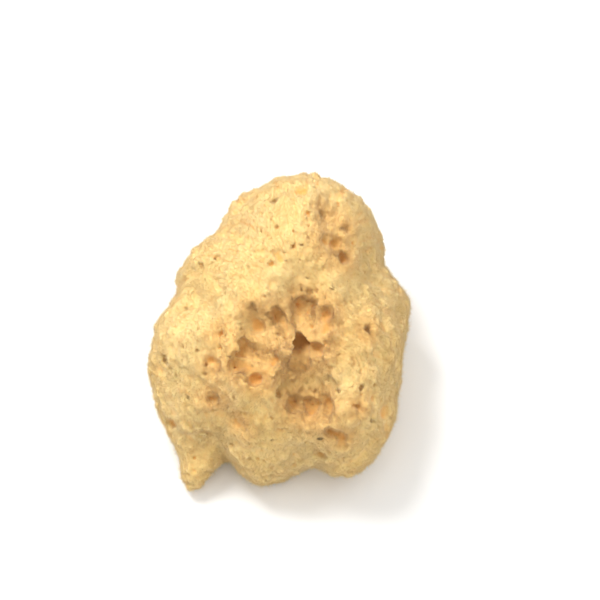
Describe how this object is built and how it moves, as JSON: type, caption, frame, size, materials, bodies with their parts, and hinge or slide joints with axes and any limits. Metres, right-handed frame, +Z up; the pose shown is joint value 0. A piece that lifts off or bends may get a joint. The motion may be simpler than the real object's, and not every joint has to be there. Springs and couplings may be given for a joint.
{
  "type": "sea sponge",
  "caption": "Natural bath sponge: a soft, lobed, porous mass of fibres with open canals, cut flat underneath so that it rests on a surface.",
  "frame": {"origin": "on the flat cut face underneath, below the middle of the bounding box", "axes": "+Z up from the cut face, +Y along the longest side towards the narrow crown, +X towards the lobe with the straight flank"},
  "size_m": [0.084, 0.097, 0.064],
  "materials": {
    "spongin": "matte"
  },
  "bodies": {
    "root": {"sponge": "spongin"}
  },
  "joints": []
}
